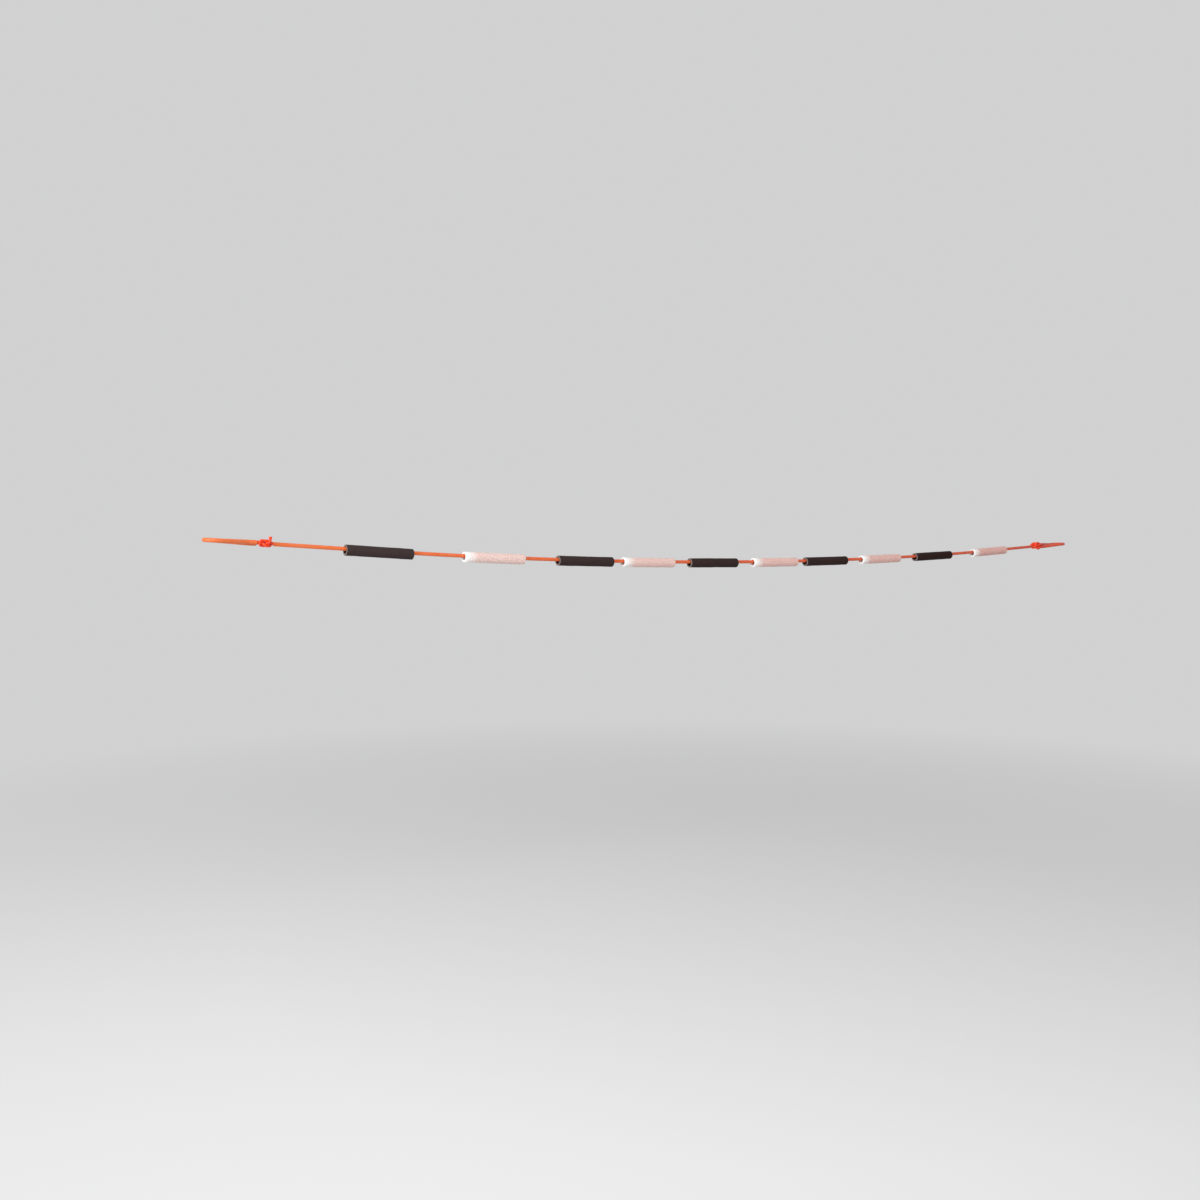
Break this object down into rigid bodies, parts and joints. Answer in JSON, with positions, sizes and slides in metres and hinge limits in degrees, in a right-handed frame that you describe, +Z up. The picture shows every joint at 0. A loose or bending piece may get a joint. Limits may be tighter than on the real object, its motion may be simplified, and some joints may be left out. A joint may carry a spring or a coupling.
{
  "type": "high jump practice crossbar",
  "caption": "Elastic high jump practice crossbar: a taut rubber tube knotted into an eye at each end, carrying a row of loose black and white foam sleeves.",
  "frame": {"origin": "centre of the left eye, where the left support goes through the loop", "axes": "+X along the bar to the centre of the right eye, +Y away from the jumper, +Z up"},
  "size_m": [4.0168, 0.0676, 0.1046],
  "materials": {
    "rubber": "satin",
    "black_foam": "matte",
    "white_foam": "matte"
  },
  "bodies": {
    "cord": {"elastic_cord": "rubber", "left_loop": "rubber", "right_loop": "rubber", "left_knot": "rubber", "right_knot": "rubber"},
    "black_sleeve_1": {"black_sleeve_1": "black_foam"},
    "white_sleeve_1": {"white_sleeve_1": "white_foam"},
    "black_sleeve_2": {"black_sleeve_2": "black_foam"},
    "white_sleeve_2": {"white_sleeve_2": "white_foam"},
    "black_sleeve_3": {"black_sleeve_3": "black_foam"},
    "white_sleeve_3": {"white_sleeve_3": "white_foam"},
    "black_sleeve_4": {"black_sleeve_4": "black_foam"},
    "white_sleeve_4": {"white_sleeve_4": "white_foam"},
    "black_sleeve_5": {"black_sleeve_5": "black_foam"},
    "white_sleeve_5": {"white_sleeve_5": "white_foam"}
  },
  "joints": [
    {"name": "black_sleeve_1_slide", "type": "slide", "parent": "cord", "child": "black_sleeve_1", "axis": [0.9982, 0, -0.0596], "range_m": [-0.2068, 0.0914]},
    {"name": "white_sleeve_1_slide", "type": "slide", "parent": "cord", "child": "white_sleeve_1", "axis": [0.9992, 0, -0.0394], "range_m": [-0.0913, 0.0678]},
    {"name": "black_sleeve_2_slide", "type": "slide", "parent": "cord", "child": "black_sleeve_2", "axis": [0.9996, 0, -0.0265], "range_m": [-0.0677, 0.0232]},
    {"name": "white_sleeve_2_slide", "type": "slide", "parent": "cord", "child": "white_sleeve_2", "axis": [0.9999, 0, -0.0154], "range_m": [-0.0232, 0.0377]},
    {"name": "black_sleeve_3_slide", "type": "slide", "parent": "cord", "child": "black_sleeve_3", "axis": [1, 0, -0.0045], "range_m": [-0.0377, 0.0412]},
    {"name": "white_sleeve_3_slide", "type": "slide", "parent": "cord", "child": "white_sleeve_3", "axis": [1, 0, 0.0065], "range_m": [-0.0412, 0.0247]},
    {"name": "black_sleeve_4_slide", "type": "slide", "parent": "cord", "child": "black_sleeve_4", "axis": [0.9998, 0, 0.0173], "range_m": [-0.0247, 0.0437]},
    {"name": "white_sleeve_4_slide", "type": "slide", "parent": "cord", "child": "white_sleeve_4", "axis": [0.9996, 0, 0.0287], "range_m": [-0.0437, 0.0497]},
    {"name": "black_sleeve_5_slide", "type": "slide", "parent": "cord", "child": "black_sleeve_5", "axis": [0.9992, 0, 0.041], "range_m": [-0.0497, 0.0738]},
    {"name": "white_sleeve_5_slide", "type": "slide", "parent": "cord", "child": "white_sleeve_5", "axis": [0.9982, 0, 0.0601], "range_m": [-0.0738, 0.1868]}
  ]
}
